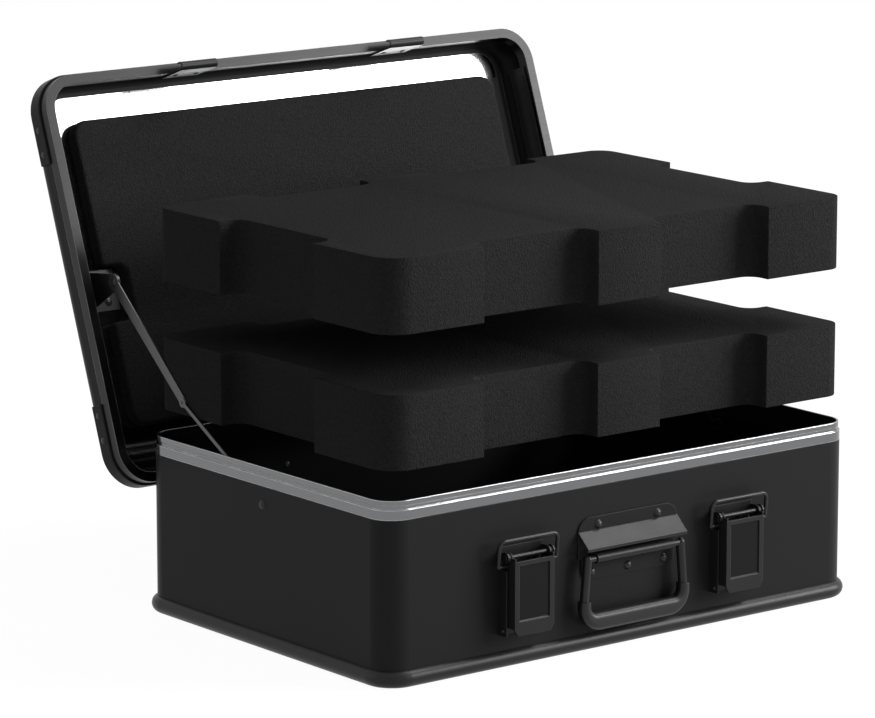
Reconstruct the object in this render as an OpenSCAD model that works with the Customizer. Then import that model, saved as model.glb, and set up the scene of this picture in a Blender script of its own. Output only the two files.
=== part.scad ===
// Aluminium transport case with an overlapping hinged lid and two foam layers.
// Millimetres. The origin is the middle of the base's underside.
// The front faces -Y, +X is to the right and +Z is up.
// Lid pieces are drawn where they lie on the closed case, then swung open.

/* [Base] */
// Width of the base over its walls
base_w = 562.5; // [480:0.5:640]
// Depth of the base over its walls
base_d = 375; // [330:0.5:430]
// Height of the base's sheet wall
wall_h = 154.9; // [140:0.1:170]
// Corner radius of the base
base_r = 25; // [20:0.5:32]
// Thickness of the base's sheet
base_wall = 1.5; // [1:0.1:2]
// Radius of the bend between the base's floor and walls
floor_bend = 7; // [4:0.5:10]
// How far the bottom bead stands out of the wall
bead_out = 5.6; // [3:0.1:8]
// Height of the bottom bead
bead_h = 16.5; // [12:0.5:20]

/* [Base rim] */
// Height of the bright band
band_h = 9.1; // [6:0.1:12]
// Height of the groove between band and lip
groove_h = 3.5; // [2:0.1:5]
// Depth of the groove
groove_in = 2.2; // [1.5:0.1:2.5]
// Height of the upstanding lip
lip_h = 5; // [3:0.1:7]
// Step in from the wall's face to the lip's outer face
lip_in = 1.2; // [0.5:0.1:1.4]
// Thickness of the rim's section
rim_t = 3; // [2.6:0.1:3.4]
// Length of the rim's skirt behind the wall
skirt_h = 8; // [5:0.5:12]

/* [Lid] */
// How far the lid reaches past the base's wall at each side
lid_side = 18.75; // [18.25:0.25:22]
// How far the lid reaches past the base's wall at the front and back
lid_end = 12.5; // [12:0.25:16]
// Corner radius of the lid
lid_r = 35; // [30:0.5:40]
// Height of the lid above its rim face
lid_h = 38; // [37.8:0.1:48]
// Thickness of the lid's sheet
lid_wall = 1.2; // [1:0.1:1.4]
// Radius of the lid's top edge
lid_edge_r = 16; // [12:0.5:16.5]
// Height of the lid's rim face over the base's underside when shut
lid_seat_z = 138; // [137:0.5:138.5]
// Width of the lid's rim face
lid_rim_w = 9.5; // [8:0.1:9.8]
// Height of the lid's rim section on the outside
lid_rim_h = 11; // [9:0.5:13]
// Height of the rim section's inner flange
lid_flange_h = 12; // [11:0.5:15]
// Thickness of the lid's rim section
lid_rim_t = 1.5; // [1.2:0.1:2]
// Thickness of the bright liner sheet
liner_t = 0.8; // [0.5:0.1:1]
// Thickness of the flat seal under the liner
seal_t = 1.2; // [0.8:0.1:1.3]
// Angle at which the stays hold the lid open
open_angle = 109.8; // [100:0.1:112]

/* [Lid trim] */
// Thickness of the corner plates
plate_t = 2; // [1.5:0.1:3]
// Height of the corner plates
plate_h = 16; // [12:0.5:18]
// Length of a corner plate measured along the side from the lid's end
plate_l = 84; // [70:1:110]
// Distance of the side strips' ends from the lid's front and back
strip_end = 41; // [38:1:60]
// Height of the strips inside the lid's sides
strip_h = 24; // [16:0.5:24]
// Thickness of the strips inside the lid's sides
strip_t = 1.5; // [1:0.1:2]

/* [Soft parts] */
// Thickness of the lid's pad
pad_t = 14.5; // [10:0.5:20]
// Distance of the pad's sides inside the base's walls
pad_side = 21.25; // [19:0.25:30]
// Distance of the pad's front inside the base's wall
pad_front = 29.5; // [26:0.5:50]
// Distance of the pad's back inside the base's wall
pad_back = 44.5; // [40:0.5:60]
// Corner radius of the lid's pad
pad_r = 17; // [12:1:28]
// Thickness of a foam layer
foam_t = 69.5; // [55:0.5:69.5]
// Distance of a foam layer's front inside the base's wall
foam_front = 5; // [3:0.5:12]
// Distance of a foam layer's back inside the base's wall
foam_back = 10.5; // [8:0.5:20]
// Corner radius of a foam layer at the front left
foam_r_near = 29; // [20:1:30]
// Corner radius of a foam layer at its other corners
foam_r = 20; // [14:1:26]
// Depth of the notches in the sides of a foam layer
notch_deep = 24; // [16:1:28]
// Radius inside a notch
notch_r = 14; // [6:1:15]
// Height of the upper layer's underside as shown, lifted out
upper_lift_z = 321.7; // [315:0.1:325]
// Height of the lower layer's underside as shown, lifted out
lower_lift_z = 198.2; // [190:0.1:200]

/* [Hinges] */
// Distance of each hinge from the middle
hinge_x = 140; // [100:1:200]
// Length of a hinge
hinge_l = 64; // [50:1:90]
// Height of the hinge axis below the lid's rim face
hinge_drop = 6; // [5:0.5:8]
// Distance of the hinge axis behind the base's wall
hinge_out = 3.8; // [3.6:0.1:4.2]
// Radius of the hinge knuckles
knuckle_r = 3.4; // [2.8:0.1:3.4]
// Radius of the hinge pin
hinge_pin_r = 1.6; // [1:0.1:1.8]
// Thickness of the hinge leaves
leaf_t = 1.5; // [1:0.1:1.5]
// Height of the base leaf below the axis
leaf_down = 26; // [20:1:40]
// Height of the lid leaf above the axis
leaf_up = 16; // [13:0.5:17]

/* [Latches] */
// Distance of each latch from the middle
latch_x = 128; // [110:1:160]
// Width of the lever
lever_w = 46; // [40:0.5:54]
// Length of the lever below its pin
lever_l = 72.5; // [60:0.5:85]
// How far the lever's face stands out of the wall
lever_out = 21.3; // [20.5:0.1:23]
// Thickness of the lever's front
lever_t = 2.6; // [2.2:0.1:3.2]
// Thickness of the lever's sides
lever_side_t = 1.5; // [1:0.1:2]
// Radius of the lever's pin
latch_pin_r = 2.2; // [1.5:0.1:2.6]
// Height of the lever's pin
latch_pin_z = 106; // [105:0.5:110]
// Distance of the lever's pin from the wall
latch_pin_out = 12.1; // [11.5:0.1:13]
// Radius of the bail's wire
wire_r = 1.9; // [1.3:0.1:2.1]
// Height of the bail's pivot below the lever's pin
bail_drop = 8; // [7.8:0.1:9]
// Distance of the bail's pivot behind the lever's pin
bail_in = 1.6; // [0.5:0.1:2]
// Width of the bail on the middle of its wire
bail_w = 68; // [62:0.5:74]
// Lean of the bail at rest, away from the wall
bail_lean = 6; // [0:0.5:15]
// Width of the keeper in the lid
keeper_w = 42.5; // [30:0.5:46]
// Width of the blank label plate
label_w = 35.4; // [24:0.2:38]
// Height of the blank label plate
label_h = 49; // [40:0.5:51]

/* [Handle] */
// Distance between the handle's arms, on centres at the grip
handle_w = 120; // [116:0.5:130]
// How far each arm leans inwards on its way up
arm_lean = 3.5; // [2:0.1:4]
// Radius of the handle's bar
bar_r = 4.5; // [3:0.1:5]
// Height of the handle's axis
handle_z = 89; // [87:0.5:92]
// Distance of the handle's axis from the wall
handle_out = 10.5; // [9.5:0.1:11.5]
// Drop from the handle's axis to the middle of the grip
handle_drop = 59.5; // [54:0.5:64]
// Height of the grip's section
grip_h = 17; // [13:0.5:20]
// Thickness of the grip's section
grip_t = 13; // [11:0.5:14]
// Width of the folded cover
cover_w = 120; // [90:0.5:121]
// Thickness of the handle's plates
handle_plate_t = 1.5; // [1:0.1:2]

/* [Stays] */
// Angle between each stay link and the line through its ends, lid open
stay_bend = 5.8; // [5.2:0.1:6.5]
// Width of the stay links near their pivots
link_w = 12; // [9:0.5:13]
// Thickness of the stay links
link_t = 1.2; // [0.8:0.1:1.2]
// Height of the stay's pivot on the base
stay_z = 137.3; // [136:0.1:138]
// Distance of the stay's pivot on the lid behind the middle
stay_y = 7; // [5:0.5:9]
// Reach of the stay's pivot below the lid's rim face
stay_drop = 16; // [14:0.5:18]
// Radius of the stay's pivot rivets
stay_pin_r = 2; // [1.5:0.1:2.5]

/* [Hidden] */
$fn = 64;

// Clearances and small sizes
run = 0.06;
slide = 0.15;
gap = 0.3;
head_r = 4.4;
head_h = 2.6;
flat_head_h = 1;
small_head_r = 3;
shank_r = 2;

// Base and rim
band_z = wall_h + band_h;
lip_z = band_z + groove_h;
rim_top = lip_z + lip_h;
mouth_x = base_w / 2 - rim_t;
floor_gap = 1.5;
lid_w = base_w + 2 * lid_side;
lid_d = base_d + 2 * lid_end;

// Lid, measured from its rim face
lid_in_h = lid_h - lid_wall;
lid_skirt_h = 8;
liner_low = lid_in_h - liner_t;
liner_inset = lid_edge_r + 0.2;
seal_out = gap / 2;
seal_in = rim_t + 1;
pad_w = base_w - 2 * pad_side;
pad_d = base_d - pad_front - pad_back;
pad_y = (pad_front - pad_back) / 2;
pad_low = liner_low - pad_t;
pad_notch_l = 55;
notch_shift = 6;
pad_notch_y = stay_y + notch_shift;
pad_notch_deep = 27.5;
pad_notch_r = 11;
plate_low = lid_rim_h;
plate_chamfer = 0.8;
corner_rivet_y = [plate_l - 36, plate_l - 12];
strip_l = lid_d - 2 * strip_end;
strip_rivet_in = 12;
strip_rivet_up = 4;
strip_low = 5;

// Hinges
hinge_y = base_d / 2 + hinge_out;
hinge_z = lid_seat_z - hinge_drop;
knuckles = 5;
knuckle_gap = 0.25;
knuckle_l = (hinge_l - (knuckles - 1) * knuckle_gap) / knuckles;
leaf_clear = knuckle_r + 0.6;
hinge_head_r = 3;
hinge_rivets = [-24, 24];
base_rivet_drop = 14.5;
lid_rivet_rise = 12;
lid_leaf_face = lid_d / 2 - lid_rim_w - leaf_t - hinge_y;

// Latches
pin_y = -base_d / 2 - latch_pin_out;
lever_y = -base_d / 2 - lever_out;
bail_y = pin_y + bail_in;
bail_z = latch_pin_z - bail_drop;
cheek_t = 1.3;
cheek_gap = 1.3;
cheek_in = lever_w / 2 + cheek_gap;
cheek_wall = 1.8;
cheek_r = latch_pin_r + cheek_wall;
flange_gap = 13;
flange_hole_r = 1.5;
flange_hole_in = 4.5;
latch_plate_t = 1.5;
latch_plate_w = 2 * (cheek_in + cheek_t);
latch_plate_past = 2;
latch_plate_low = latch_pin_z - lever_l - latch_plate_past;
latch_plate_rise = 8;
latch_plate_top = latch_pin_z + latch_plate_rise;
latch_rivet_x = 10;
latch_rivet_up = 12;
latch_rivet_down = 6;
latch_rivet_z = [latch_plate_low + latch_rivet_up, latch_pin_z - latch_rivet_down];
lever_top_drop = 3;
lever_top = latch_pin_z - lever_top_drop;
lever_low = latch_pin_z - lever_l;
lip_chamfer = 6.5;
lip_chamfer_x = 4;
lever_back = -base_d / 2 - latch_plate_t - gap * 5;
label_low_gap = 14.8;
label_top_gap = 5.7;
label_z = (lever_low + label_low_gap + lever_top - label_top_gap) / 2;
label_t = 0.5;
recess = 1.5;
washer_r = 5.2;
washer_t = 1.6;
washer_x = cheek_in + cheek_t + slide;
pin_head_r = 3.4;
pin_head_t = 1.2;
pin_head_x = washer_x + washer_t + slide;
leg_x = bail_w / 2;
hook_gap = 1;
hook_rise = 15.4;
hook_y = -lid_d / 2 + lid_rim_w - wire_r - hook_gap;
hook_z = latch_pin_z + hook_rise;
bail_l = norm([hook_y - bail_y, hook_z - bail_z]);
bail_bend = 6;
keeper_t = 1.5;
keeper_top = 18;
hook_lip = 2.6;
keeper_face = -lid_d / 2 + lid_rim_w;
keeper_rivet_x = 12;

// Handle
bar_y = -base_d / 2 - handle_out;
arm_x = handle_w / 2;
cover_y = -base_d / 2 - handle_plate_t;
cover_rise = 24.5;
cover_lip_rise = 11;
cover_lip_h = 2.5;
cover_top = handle_z + cover_rise;
cover_lip_top = handle_z + cover_lip_rise;
cover_out = 5.5;
cover_t = 1.5;
bearing_l = 94;
pivot_rod_r = 3.2;
bearing_wall = 1.4;
bearing_r = pivot_rod_r + bearing_wall;
web_h = 6;
plate_rise = 37;
plate_drop = 22;
plate_top_z = handle_z + plate_rise;
plate_low_z = handle_z - plate_drop;
plate_r = 14;
plate_low_r = 9;
plate_edge_r = 1;
step_drop = 1;
step_z = handle_z - step_drop;
step_lap = 2;
flange_in = 4;
flange_w = cover_w - 2 * flange_in;
upper_rivet_x = 36;
lower_rivet_x = 44;
lower_rivet_drop = 15;
upper_rivet = [upper_rivet_x, cover_top + head_r + gap];
lower_rivet = [lower_rivet_x, handle_z - lower_rivet_drop];
grip_rise = 20.5;
grip_top_z = handle_z - handle_drop + grip_rise;
grip_side = 11.6;
grip_out_r = 24;
grip_in_r = 7;
bar_bend = 17;
lean_drop = handle_z - grip_top_z;
lean_l = norm([arm_lean, lean_drop]);
lean_angle = atan2(arm_lean, lean_drop);

// Stays, from the wall inwards
mouth_gap = 0.2;
lower_out = mouth_x - mouth_gap;
lower_in = lower_out - link_t;
upper_out = lower_in - slide;
upper_in = upper_out - link_t;
bracket_t = 1.5;
bracket_out = upper_in - slide;
bracket_in = bracket_out - bracket_t;
foam_w = 2 * (upper_in - gap);
wall_in_x = base_w / 2 - base_wall;
hub_r = 8;
eye_r = 4.6;
rod_w = 3.6;
bracket_foot_l = 40;
foot_gap = 8.5;
bracket_foot_in = pad_w / 2 - pad_notch_deep + foot_gap;
foot_rivet_y = 12;
foot_rivet_in = 12;
foot_rivet_x = bracket_foot_in + foot_rivet_in;
swing = [stay_y - hinge_y, lid_seat_z - stay_drop - hinge_z];
lid_pivot = [hinge_y + swing[0] * cos(open_angle) + swing[1] * sin(open_angle),
    hinge_z - swing[0] * sin(open_angle) + swing[1] * cos(open_angle)];
stay_span = [lid_pivot[0], lid_pivot[1] - stay_z];
stay_chord = norm(stay_span);
link_l = stay_chord / (2 * cos(stay_bend));
stay_slope = atan2(stay_span[1], stay_span[0]);
lower_angle = stay_slope - stay_bend;
upper_angle = stay_slope + stay_bend;
elbow = [link_l * cos(lower_angle), stay_z + link_l * sin(lower_angle)];

// Foam layers
foam_d = base_d - foam_front - foam_back;
foam_y = (foam_front - foam_back) / 2;
front_notch = [32.5, 166];
front_notch_far = [43.5, 176];
side_notch_l = 144;

black = [0.06, 0.06, 0.065];
dark = [0.1, 0.1, 0.105];
bright = [0.72, 0.73, 0.75];
grey = [0.35, 0.36, 0.37];
foam_colour = [0.08, 0.08, 0.085];

// Shared shapes

// Outline of a rectangle whose corner radii run anticlockwise from front left
module rounded(w, d, r) {
    difference() {
        square([w, d], center = true);
        for (i = [0:3]) {
            sx = (i == 0 || i == 3) ? -1 : 1;
            sy = i < 2 ? -1 : 1;
            translate([sx * w / 2, sy * d / 2])
                square(2 * r[i], center = true);
        }
    }
    for (i = [0:3]) {
        sx = (i == 0 || i == 3) ? -1 : 1;
        sy = i < 2 ? -1 : 1;
        translate([sx * (w / 2 - r[i]), sy * (d / 2 - r[i])])
            circle(r[i]);
    }
}

// A section run round a rounded rectangle: x is outwards from its edge, y is up
module ring(w, d, r) {
    for (a = [0, 180]) {
        rotate([0, 0, a])
            translate([w / 2, d / 2 - r, 0])
                rotate([90, 0, 0])
                    linear_extrude(d - 2 * r)
                        children();
        rotate([0, 0, a + 90])
            translate([d / 2, w / 2 - r, 0])
                rotate([90, 0, 0])
                    linear_extrude(w - 2 * r)
                        children();
    }
    for (i = [0:3]) {
        sx = (i == 0 || i == 3) ? 1 : -1;
        sy = i < 2 ? 1 : -1;
        translate([sx * (w / 2 - r), sy * (d / 2 - r), 0])
            rotate([0, 0, 90 * i])
                rotate_extrude(angle = 90)
                    translate([r, 0])
                        children();
    }
}

// A section in the Y-Z plane run along X, centred
module along_x(length) {
    translate([-length / 2, 0, 0])
        rotate([90, 0, 90])
            linear_extrude(length)
                children();
}

module both_sides() {
    for (s = [0, 1])
        mirror([s, 0, 0])
            children();
}

// A domed rivet whose shank runs back along -Z from the face it sits on
module dome_rivet(r, h, shank, length) {
    rise = (r * r + h * h) / (2 * h);
    intersection() {
        translate([0, 0, h - rise])
            sphere(rise);
        cylinder(h = h, r = r);
    }
    translate([0, 0, -length])
        cylinder(h = length, r = shank);
}

// Swings the lid's pieces from shut to the angle they rest at
module lid_open() {
    translate([0, hinge_y, hinge_z])
        rotate([-open_angle, 0, 0])
            translate([0, -hinge_y, -hinge_z])
                children();
}

// Lifts a shape drawn from the lid's rim face to its place on the shut case
module on_seat() {
    lid_open()
        translate([0, 0, lid_seat_z])
            children();
}

// Base

module base_shell() {
    color(black)
        difference() {
            union() {
                ring(base_w, base_d, base_r)
                    base_wall_section();
                linear_extrude(base_wall)
                    rounded(base_w - 2 * floor_bend, base_d - 2 * floor_bend,
                        [for (i = [0:3]) base_r - floor_bend]);
            }
            for (s = [-1, 1])
                translate([s * base_w / 2, 0, stay_z])
                    rotate([0, 90, 0])
                        cylinder(h = 4 * base_wall, r = shank_r + 0.5, center = true);
            for (s = [-1, 1], x = hinge_rivets)
                translate([s * hinge_x + x, base_d / 2, hinge_z - base_rivet_drop])
                    rotate([90, 0, 0])
                        cylinder(h = 4 * base_wall, r = shank_r, center = true);
        }
}

module base_wall_section() {
    translate([-base_wall, floor_bend])
        square([base_wall, wall_h - floor_bend]);
    intersection() {
        difference() {
            translate([-floor_bend, floor_bend])
                circle(floor_bend);
            translate([-floor_bend, floor_bend])
                circle(floor_bend - base_wall);
        }
        translate([-floor_bend, 0])
            square(floor_bend);
    }
}

module base_bead() {
    color(black)
        ring(base_w, base_d, base_r)
            difference() {
                intersection() {
                    translate([bead_out - bead_h / 2, bead_h / 2])
                        circle(bead_h / 2);
                    translate([-floor_bend, 0])
                        square([bead_out + floor_bend, bead_h]);
                }
                translate([-2 * floor_bend, floor_bend])
                    square([2 * floor_bend, bead_h]);
                translate([-floor_bend, floor_bend])
                    circle(floor_bend);
            }
}

module base_rim() {
    color(bright)
        ring(base_w, base_d, base_r) {
            translate([-rim_t, wall_h])
                square([rim_t, band_h]);
            translate([-rim_t, wall_h - skirt_h])
                square([rim_t - base_wall, skirt_h]);
            translate([-rim_t, band_z])
                square([rim_t - groove_in, groove_h]);
            translate([-rim_t, lip_z])
                square([rim_t - lip_in, lip_h]);
        }
}

// Hinges

module knuckle_row(first) {
    for (i = [first:2:knuckles - 1])
        translate([-hinge_l / 2 + i * (knuckle_l + knuckle_gap), 0, 0])
            children();
}

// A leaf and its knuckles: the plate runs from near to far below or above the axis
module hinge_leaf(first, face, near, far, tab) {
    difference() {
        union() {
            knuckle_row(first) {
                rotate([0, 90, 0])
                    cylinder(h = knuckle_l, r = knuckle_r);
                translate([0, face, tab])
                    cube([knuckle_l, leaf_t, leaf_clear]);
            }
            translate([-hinge_l / 2, face, min(near, far)])
                cube([hinge_l, leaf_t, abs(far - near)]);
        }
        rotate([0, 90, 0])
            cylinder(h = 2 * hinge_l, r = hinge_pin_r + run, center = true);
    }
}

// Holes for the rivets of a leaf
module leaf_holes(z) {
    for (x = hinge_rivets)
        translate([x, 0, z])
            rotate([90, 0, 0])
                cylinder(h = 12 * leaf_t, r = shank_r, center = true);
}

module at_hinges() {
    for (s = [-1, 1])
        translate([s * hinge_x, hinge_y, hinge_z])
            children();
}

module base_hinge_leaves() {
    color(dark)
        at_hinges()
            difference() {
                hinge_leaf(0, -hinge_out, -leaf_clear, -leaf_down, -leaf_clear);
                leaf_holes(-base_rivet_drop);
            }
}

module lid_hinge_leaves() {
    color(dark)
        lid_open()
            at_hinges()
                difference() {
                    hinge_leaf(1, lid_leaf_face, leaf_clear, leaf_up, 0);
                    leaf_holes(lid_rivet_rise);
                }
}

module hinge_pins() {
    color(grey)
        at_hinges()
            rotate([0, 90, 0]) {
                cylinder(h = hinge_l + 2 * run, r = hinge_pin_r, center = true);
                for (s = [-1, 1])
                    translate([0, 0, s * (hinge_l / 2 + run + flat_head_h / 2)])
                        cylinder(h = flat_head_h, r = hinge_head_r, center = true);
            }
}

module base_hinge_rivets() {
    color(grey)
        at_hinges()
            for (x = hinge_rivets)
                translate([x, -hinge_out + leaf_t, -base_rivet_drop]) {
                    rotate([-90, 0, 0])
                        dome_rivet(head_r, flat_head_h, shank_r, leaf_t + base_wall);
                    translate([0, -leaf_t - base_wall, 0])
                        rotate([90, 0, 0])
                            dome_rivet(head_r, flat_head_h, shank_r, base_wall);
                }
}

module lid_hinge_rivets() {
    color(grey)
        lid_open()
            at_hinges()
                for (x = hinge_rivets)
                    translate([x, lid_leaf_face, lid_rivet_rise])
                        rotate([90, 0, 0])
                            dome_rivet(head_r, flat_head_h, shank_r, leaf_t + lid_rim_t);
}

// Latches

module at_latch(side) {
    translate([side * latch_x, 0, 0])
        children();
}

module latch_plates() {
    color(dark)
        for (s = [-1, 1])
            at_latch(s)
                difference() {
                    union() {
                        translate([-latch_plate_w / 2, -base_d / 2 - latch_plate_t, latch_plate_low])
                            cube([latch_plate_w, latch_plate_t, latch_plate_top - latch_plate_low]);
                        both_sides()
                            translate([cheek_in, 0, 0]) {
                                latch_cheek();
                                channel_flange();
                            }
                    }
                    translate([0, pin_y, latch_pin_z])
                        rotate([0, 90, 0])
                            cylinder(h = 2 * latch_plate_w, r = latch_pin_r + run, center = true);
                    for (z = latch_rivet_z)
                        translate([-latch_rivet_x, -base_d / 2, z])
                            rotate([90, 0, 0])
                                cylinder(h = 4 * latch_plate_t, r = shank_r, center = true);
                    for (z = latch_rivet_z)
                        translate([latch_rivet_x, -base_d / 2, z])
                            rotate([90, 0, 0])
                                cylinder(h = 4 * latch_plate_t, r = shank_r, center = true);
                }
}

module latch_cheek() {
    translate([cheek_t, pin_y, latch_pin_z])
        rotate([0, -90, 0])
            cylinder(h = cheek_t, r = cheek_r);
    translate([0, pin_y, latch_pin_z - cheek_r])
        cube([cheek_t, latch_pin_out - latch_plate_t / 2, 2 * cheek_r]);
}

module channel_flange() {
    difference() {
        translate([0, pin_y, latch_plate_low])
            cube([cheek_t, latch_pin_out - latch_plate_t / 2, latch_pin_z - flange_gap - latch_plate_low]);
        translate([cheek_t / 2, pin_y + flange_hole_in, latch_plate_low + flange_hole_in])
            rotate([0, 90, 0])
                cylinder(h = 2 * cheek_t, r = flange_hole_r, center = true);
    }
}

module latch_plate_rivets() {
    color(grey)
        for (s = [-1, 1], x = [-latch_rivet_x, latch_rivet_x], z = latch_rivet_z)
            translate([s * latch_x + x, -base_d / 2 - latch_plate_t, z])
                rotate([90, 0, 0])
                    dome_rivet(small_head_r, flat_head_h, shank_r, latch_plate_t);
}

module latch_pins() {
    color(grey)
        for (s = [-1, 1])
            at_latch(s)
                translate([0, pin_y, latch_pin_z])
                    rotate([0, 90, 0]) {
                        cylinder(h = 2 * pin_head_x, r = latch_pin_r, center = true);
                        for (x = [-pin_head_x - pin_head_t, pin_head_x])
                            translate([0, 0, x])
                                cylinder(h = pin_head_t, r = pin_head_r);
                    }
}

module latch_washers() {
    color(grey)
        for (s = [-1, 1])
            at_latch(s)
                both_sides() {
                    latch_washer(lever_w / 2 + slide, cheek_in - lever_w / 2 - 2 * slide, cheek_r);
                    latch_washer(washer_x, washer_t, washer_r);
                }
}

module latch_washer(x, t, r) {
    translate([x, pin_y, latch_pin_z])
        rotate([0, 90, 0])
            difference() {
                cylinder(h = t, r = r);
                translate([0, 0, -1])
                    cylinder(h = t + 2, r = latch_pin_r + run);
            }
}

module lever_front() {
    polygon([[-lever_w / 2, lever_top], [-lever_w / 2, lever_low + lip_chamfer],
        [-lever_w / 2 + lip_chamfer_x, lever_low], [lever_w / 2 - lip_chamfer_x, lever_low],
        [lever_w / 2, lever_low + lip_chamfer], [lever_w / 2, lever_top]]);
}

module latch_lever(side) {
    color(black)
        at_latch(side)
            difference() {
                union() {
                    translate([0, lever_y + lever_t, 0])
                        rotate([90, 0, 0])
                            linear_extrude(lever_t)
                                lever_front();
                    both_sides()
                        translate([lever_w / 2 - lever_side_t, 0, 0])
                            lever_side();
                }
                along_x(label_w + 2 * slide)
                    recess_section();
                translate([0, pin_y, latch_pin_z])
                    rotate([0, 90, 0])
                        cylinder(h = 2 * lever_w, r = latch_pin_r + run, center = true);
                translate([0, bail_y, bail_z])
                    rotate([0, 90, 0])
                        cylinder(h = 2 * lever_w, r = wire_r + run, center = true);
            }
}

module recess_section() {
    floor_y = lever_y + recess;
    low = label_z - label_h / 2 - slide;
    high = label_z + label_h / 2 + slide;
    polygon([[floor_y, low], [floor_y, high], [lever_y - 1, high + recess + 1],
        [lever_y - 1, low - recess - 1]]);
}

module lever_side() {
    translate([0, pin_y, latch_pin_z])
        rotate([0, 90, 0])
            cylinder(h = lever_side_t, r = latch_pin_r + 2.4);
    translate([0, lever_y, lever_low + lip_chamfer])
        cube([lever_side_t, lever_back - lever_y, lever_top - lever_low - lip_chamfer]);
    translate([0, lever_y, lever_top - 1])
        cube([lever_side_t, pin_y - lever_y + latch_pin_r + 2.4, latch_pin_z - lever_top + 1]);
}

module latch_lever_left() {
    latch_lever(-1);
}

module latch_lever_right() {
    latch_lever(1);
}

module label_plate(side) {
    color(dark)
        at_latch(side)
            translate([-label_w / 2, lever_y + recess - label_t, label_z - label_h / 2])
                cube([label_w, label_t, label_h]);
}

module label_plate_left() {
    label_plate(-1);
}

module label_plate_right() {
    label_plate(1);
}

module latch_bail(side) {
    leg_l = bail_l - bail_bend;
    color(dark)
        at_latch(side)
            translate([0, bail_y, bail_z])
                rotate([bail_lean, 0, 0]) {
                    both_sides() {
                        translate([leg_x, 0, 0])
                            cylinder(h = leg_l, r = wire_r);
                        translate([leg_x, 0, 0])
                            sphere(wire_r);
                        translate([lever_w / 2 - lever_side_t - 1, 0, 0])
                            rotate([0, 90, 0])
                                cylinder(h = leg_x - lever_w / 2 + lever_side_t + 1, r = wire_r);
                        translate([leg_x - bail_bend, 0, leg_l])
                            rotate([90, 0, 0])
                                rotate_extrude(angle = 90)
                                    translate([bail_bend, 0])
                                        circle(wire_r);
                    }
                    translate([0, 0, bail_l])
                        rotate([0, 90, 0])
                            cylinder(h = 2 * (leg_x - bail_bend), r = wire_r, center = true);
                }
}

module latch_bail_left() {
    latch_bail(-1);
}

module latch_bail_right() {
    latch_bail(1);
}

// Handle

module handle_plate() {
    color(black)
        translate([0, -base_d / 2, 0])
            rotate([90, 0, 0])
                linear_extrude(handle_plate_t)
                    difference() {
                        union() {
                            translate([0, (plate_top_z + step_z) / 2])
                                rounded(cover_w, plate_top_z - step_z,
                                    [plate_edge_r, plate_edge_r, plate_r, plate_r]);
                            translate([0, (step_z + step_lap + plate_low_z) / 2])
                                rounded(flange_w, step_z + step_lap - plate_low_z,
                                    [plate_low_r, plate_low_r, plate_edge_r, plate_edge_r]);
                        }
                        for (s = [-1, 1])
                            translate([s * upper_rivet[0], upper_rivet[1]])
                                circle(shank_r);
                        for (s = [-1, 0, 1])
                            translate([s * lower_rivet[0], lower_rivet[1]])
                                circle(shank_r);
                    }
}

module handle_cover() {
    out = bar_y - cover_out;
    slope = (cover_top - cover_lip_top) / (cover_y - out);
    drop = cover_t * norm([1, slope]);
    color(black)
        along_x(cover_w)
            polygon([[cover_y, cover_top], [out, cover_lip_top], [out, cover_lip_top - cover_lip_h],
                [out + cover_t, cover_lip_top - cover_lip_h],
                [out + cover_t, cover_lip_top + cover_t * slope - drop], [cover_y, cover_top - drop]]);
}

module handle_bearings() {
    color(dark)
        along_x(bearing_l)
            difference() {
                union() {
                    translate([bar_y, handle_z])
                        circle(bearing_r);
                    translate([bar_y, handle_z - web_h / 2])
                        square([cover_y - bar_y, web_h]);
                }
                translate([bar_y, handle_z])
                    circle(pivot_rod_r + run);
            }
}

module handle_rivets() {
    color(grey)
        translate([0, cover_y, 0]) {
            for (s = [-1, 1])
                translate([s * upper_rivet[0], 0, upper_rivet[1]])
                    rotate([90, 0, 0])
                        dome_rivet(head_r, head_h, shank_r, handle_plate_t);
            for (s = [-1, 0, 1])
                translate([s * lower_rivet[0], 0, lower_rivet[1]])
                    rotate([90, 0, 0])
                        dome_rivet(head_r, head_h, shank_r, handle_plate_t);
        }
}

module handle_bar() {
    color(dark)
        translate([0, bar_y, handle_z]) {
            rotate([0, 90, 0])
                cylinder(h = 2 * (arm_x - arm_lean), r = pivot_rod_r, center = true);
            both_sides() {
                translate([arm_x - arm_lean, 0, 0])
                    sphere(bar_r);
                translate([arm_x, 0, -lean_drop]) {
                    sphere(bar_r);
                    rotate([0, -lean_angle, 0])
                        cylinder(h = lean_l, r = bar_r - slide);
                }
            }
            bar_in_grip(lean_drop);
        }
}

// The bar below the given drop from the handle's axis
module bar_in_grip(top) {
    drop = handle_drop - bar_bend;
    both_sides() {
        translate([arm_x, 0, -drop])
            cylinder(h = drop - top, r = bar_r);
        translate([arm_x - bar_bend, 0, -drop])
            rotate([-90, 0, 0])
                rotate_extrude(angle = 90)
                    translate([bar_bend, 0])
                        circle(bar_r);
    }
    translate([0, 0, -handle_drop])
        rotate([0, 90, 0])
            cylinder(h = 2 * (arm_x - bar_bend), r = bar_r, center = true);
}

module grip_outline() {
    low = handle_z - handle_drop - grip_h / 2;
    side = arm_x + grip_side / 2;
    difference() {
        translate([0, low + grip_out_r])
            rounded(2 * side, 2 * grip_out_r, [grip_out_r, grip_out_r, 1, 1]);
        translate([0, grip_top_z + grip_out_r])
            square([4 * side, 2 * grip_out_r], center = true);
        translate([0, low + grip_h + handle_drop / 2])
            rounded(2 * (side - grip_side), handle_drop, [grip_in_r, grip_in_r, 1, 1]);
    }
}

module handle_grip() {
    color(black)
        difference() {
            translate([0, bar_y + grip_t / 2, 0])
                rotate([90, 0, 0])
                    linear_extrude(grip_t)
                        grip_outline();
            translate([0, bar_y, handle_z])
                bar_in_grip(0);
        }
}

// Stays

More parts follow.
